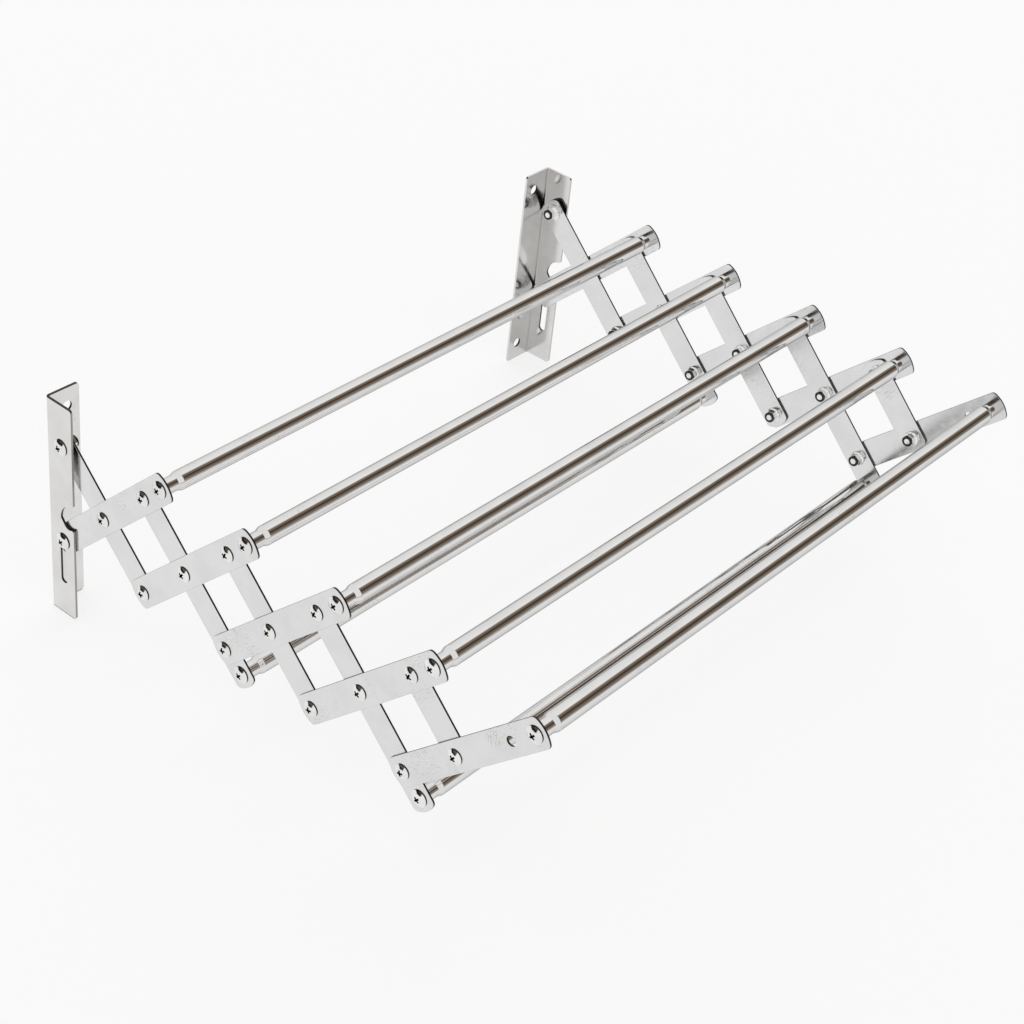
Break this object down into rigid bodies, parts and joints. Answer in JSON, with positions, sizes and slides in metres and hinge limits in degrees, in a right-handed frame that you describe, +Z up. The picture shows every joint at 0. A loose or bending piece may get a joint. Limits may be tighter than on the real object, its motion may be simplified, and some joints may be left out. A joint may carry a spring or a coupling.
{
  "type": "wall-mounted extending drying rack",
  "caption": "Wall-mounted clothes-drying rack: scissor linkages carry parallel tubular rods out from two slotted angle brackets and fold back against the wall.",
  "frame": {"origin": "centre of the four wall holes, on the wall's surface", "axes": "+X along the rods, to the right seen from in front; +Y into the wall; +Z up; the rack pulls out along -Y"},
  "size_m": [0.611, 0.5129, 0.205],
  "materials": {
    "link_steel": "polished stainless strip with rolled edges",
    "bracket_steel": "satin stainless angle",
    "rod_steel": "polished stainless tube",
    "fastener_steel": "bright stainless",
    "plug_steel": "plain turned steel, hidden inside the rods"
  },
  "bodies": {
    "wall_brackets": {"bracket_left": "bracket_steel", "bracket_right": "bracket_steel", "top_bolts": "fastener_steel", "top_spacers": "fastener_steel", "top_washers": "fastener_steel", "top_nuts": "fastener_steel"},
    "outer_frame_1": {"outer_link_1_left": "link_steel", "outer_link_1_right": "link_steel", "upper_rod_1": "rod_steel", "upper_rod_1_plugs": "plug_steel", "upper_rod_1_screws": "fastener_steel", "pivot_bolts_1": "fastener_steel", "pivot_nuts_1": "fastener_steel", "slide_bolts": "fastener_steel", "slide_nuts": "fastener_steel"},
    "outer_frame_2": {"outer_link_2_left": "link_steel", "outer_link_2_right": "link_steel", "upper_rod_2": "rod_steel", "upper_rod_2_plugs": "plug_steel", "upper_rod_2_screws": "fastener_steel", "pivot_bolts_2": "fastener_steel", "pivot_nuts_2": "fastener_steel"},
    "outer_frame_3": {"outer_link_3_left": "link_steel", "outer_link_3_right": "link_steel", "upper_rod_3": "rod_steel", "upper_rod_3_plugs": "plug_steel", "upper_rod_3_screws": "fastener_steel", "pivot_bolts_3": "fastener_steel", "pivot_nuts_3": "fastener_steel"},
    "outer_frame_4": {"outer_link_4_left": "link_steel", "outer_link_4_right": "link_steel", "upper_rod_4": "rod_steel", "upper_rod_4_plugs": "plug_steel", "upper_rod_4_screws": "fastener_steel", "pivot_bolts_4": "fastener_steel", "pivot_nuts_4": "fastener_steel"},
    "outer_frame_5": {"outer_link_5_left": "link_steel", "outer_link_5_right": "link_steel", "upper_rod_5": "rod_steel", "upper_rod_5_plugs": "plug_steel", "upper_rod_5_screws": "fastener_steel", "pivot_bolts_5": "fastener_steel", "pivot_nuts_5": "fastener_steel"},
    "inner_1_left": {"inner_link_1_left": "link_steel"},
    "inner_1_right": {"inner_link_1_right": "link_steel"},
    "inner_3_left": {"inner_link_3_left": "link_steel"},
    "inner_3_right": {"inner_link_3_right": "link_steel"},
    "inner_5_left": {"inner_link_5_left": "link_steel"},
    "inner_5_right": {"inner_link_5_right": "link_steel"},
    "inner_frame_2": {"inner_link_2_left": "link_steel", "inner_link_2_right": "link_steel", "lower_rod_1": "rod_steel", "lower_rod_1_plugs": "plug_steel", "lower_rod_1_screws": "fastener_steel"},
    "inner_frame_4": {"inner_link_4_left": "link_steel", "inner_link_4_right": "link_steel", "lower_rod_2": "rod_steel", "lower_rod_2_plugs": "plug_steel", "lower_rod_2_screws": "fastener_steel"}
  },
  "joints": [
    {"name": "fold", "type": "hinge", "parent": "wall_brackets", "child": "inner_1_left", "pos_m": [-0.29715, -0.017, 0.0625], "axis": [1, 0, 0], "range_deg": [0, 33.5]},
    {"name": "fold_right", "type": "hinge", "parent": "wall_brackets", "child": "inner_1_right", "pos_m": [0.29715, -0.017, 0.0625], "axis": [1, 0, 0], "range_deg": [0, 33.5]},
    {"name": "cross_1", "type": "hinge", "parent": "inner_1_left", "child": "outer_frame_1", "pos_m": [0, -0.06336, 0.01694], "axis": [1, 0, 0], "range_deg": [-67, 0]},
    {"name": "tip_1", "type": "hinge", "parent": "outer_frame_1", "child": "inner_frame_2", "pos_m": [0, -0.10972, 0.0625], "axis": [1, 0, 0], "range_deg": [0, 67]},
    {"name": "cross_2", "type": "hinge", "parent": "inner_frame_2", "child": "outer_frame_2", "pos_m": [0, -0.15608, 0.01694], "axis": [1, 0, 0], "range_deg": [-67, 0]},
    {"name": "tip_2_left", "type": "hinge", "parent": "outer_frame_2", "child": "inner_3_left", "pos_m": [-0.29715, -0.20245, 0.0625], "axis": [1, 0, 0], "range_deg": [0, 67]},
    {"name": "tip_2_right", "type": "hinge", "parent": "outer_frame_2", "child": "inner_3_right", "pos_m": [0.29715, -0.20245, 0.0625], "axis": [1, 0, 0], "range_deg": [0, 67]},
    {"name": "cross_3", "type": "hinge", "parent": "inner_3_left", "child": "outer_frame_3", "pos_m": [0, -0.24881, 0.01694], "axis": [1, 0, 0], "range_deg": [-67, 0]},
    {"name": "tip_3", "type": "hinge", "parent": "outer_frame_3", "child": "inner_frame_4", "pos_m": [0, -0.29517, 0.0625], "axis": [1, 0, 0], "range_deg": [0, 67]},
    {"name": "cross_4", "type": "hinge", "parent": "inner_frame_4", "child": "outer_frame_4", "pos_m": [0, -0.34153, 0.01694], "axis": [1, 0, 0], "range_deg": [-67, 0]},
    {"name": "tip_4_left", "type": "hinge", "parent": "outer_frame_4", "child": "inner_5_left", "pos_m": [-0.29715, -0.38789, 0.0625], "axis": [1, 0, 0], "range_deg": [0, 67]},
    {"name": "tip_4_right", "type": "hinge", "parent": "outer_frame_4", "child": "inner_5_right", "pos_m": [0.29715, -0.38789, 0.0625], "axis": [1, 0, 0], "range_deg": [0, 67]},
    {"name": "cross_5", "type": "hinge", "parent": "inner_5_left", "child": "outer_frame_5", "pos_m": [0, -0.43425, 0.01694], "axis": [1, 0, 0], "range_deg": [-67, 0]}
  ],
  "couplings": [
    {"joint": "fold_right", "follows": "fold", "ratio": 1},
    {"joint": "cross_1", "follows": "fold", "ratio": -2},
    {"joint": "tip_1", "follows": "fold", "ratio": 2},
    {"joint": "cross_2", "follows": "fold", "ratio": -2},
    {"joint": "tip_2_left", "follows": "fold", "ratio": 2},
    {"joint": "tip_2_right", "follows": "fold", "ratio": 2},
    {"joint": "cross_3", "follows": "fold", "ratio": -2},
    {"joint": "tip_3", "follows": "fold", "ratio": 2},
    {"joint": "cross_4", "follows": "fold", "ratio": -2},
    {"joint": "tip_4_left", "follows": "fold", "ratio": 2},
    {"joint": "tip_4_right", "follows": "fold", "ratio": 2},
    {"joint": "cross_5", "follows": "fold", "ratio": -2}
  ]
}
